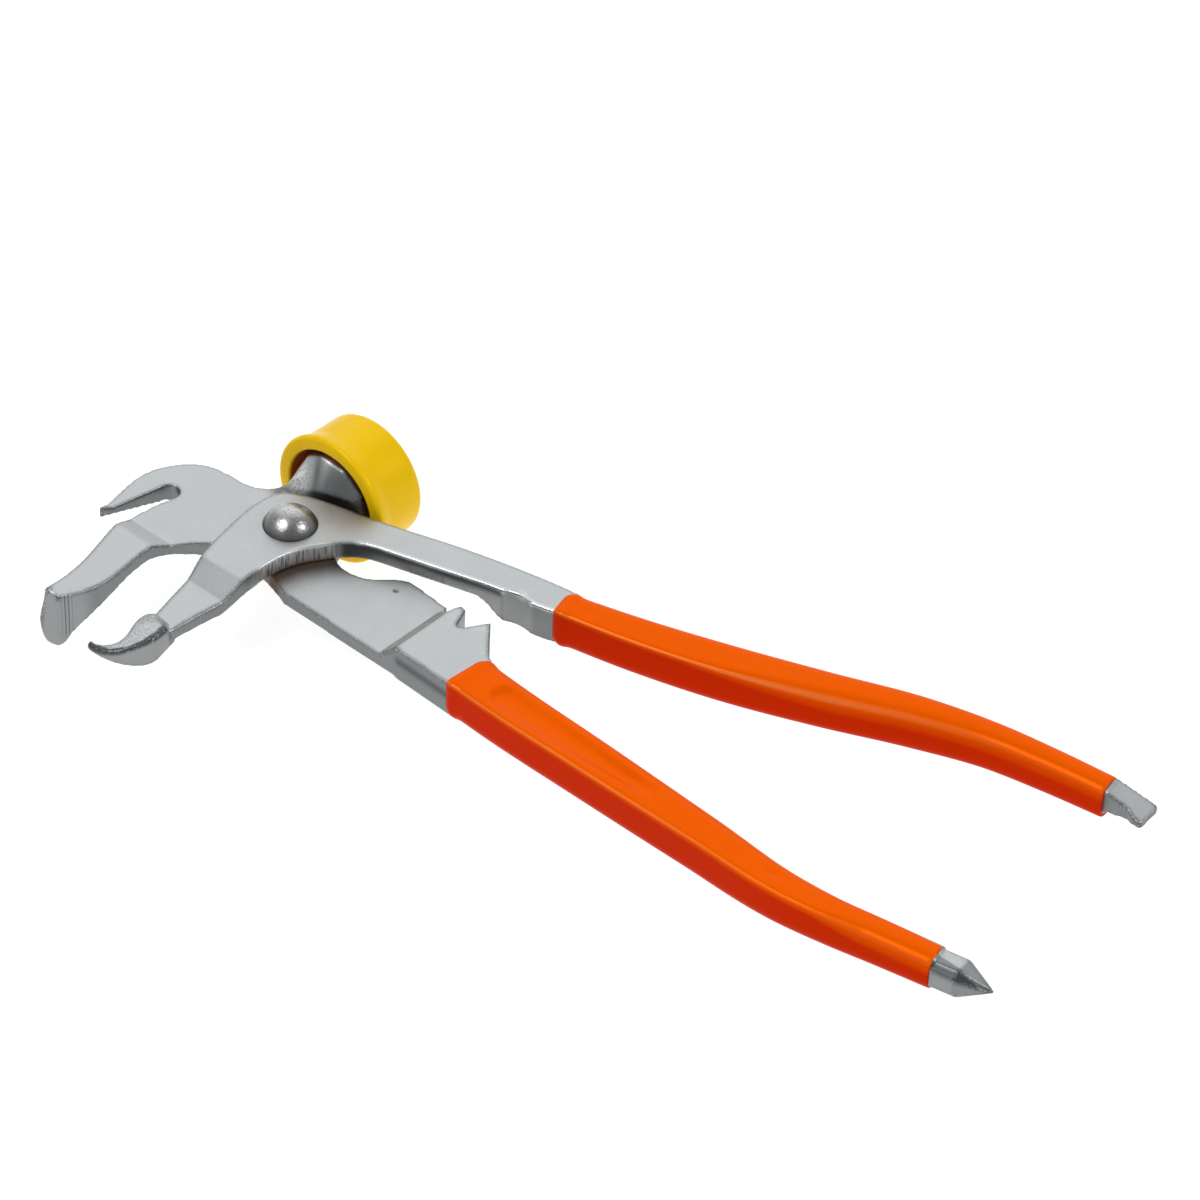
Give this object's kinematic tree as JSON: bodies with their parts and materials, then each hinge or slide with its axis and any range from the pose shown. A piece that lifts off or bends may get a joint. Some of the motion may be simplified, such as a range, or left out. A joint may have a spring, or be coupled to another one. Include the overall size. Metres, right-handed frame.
{
  "type": "wheel weight hammer pliers",
  "caption": "Forged pliers with a pry claw, ribbed jaw, hooked beak, capped side hammer, edge cutter, dipped grips and pry and scriber tips on the handles.",
  "frame": {"origin": "on the rivet's axis, in the plane where the two joint plates meet", "axes": "+X runs along the hammer lever's handle towards its scriber tip, +Y is the way the hammer strikes, +Z points out of the rivet's dome"},
  "size_m": [0.2436, 0.1212, 0.0322],
  "materials": {
    "forged_steel": "satin zinc plating over forged and ground steel",
    "polished_rivet": "polished steel",
    "yellow_cap": "glossy moulded plastic",
    "orange_dip": "glossy dipped vinyl"
  },
  "bodies": {
    "hammer_side": {"hammer_lever": "forged_steel", "pivot_rivet": "polished_rivet", "hammer_cap": "yellow_cap", "hammer_grip": "orange_dip"},
    "beak_side": {"beak_lever": "forged_steel", "beak_grip": "orange_dip"}
  },
  "joints": [
    {"name": "pivot_hinge", "type": "hinge", "parent": "hammer_side", "child": "beak_side", "pos_m": [0, 0, 0], "axis": [0, 0, 1], "range_deg": [-11, 5]}
  ]
}
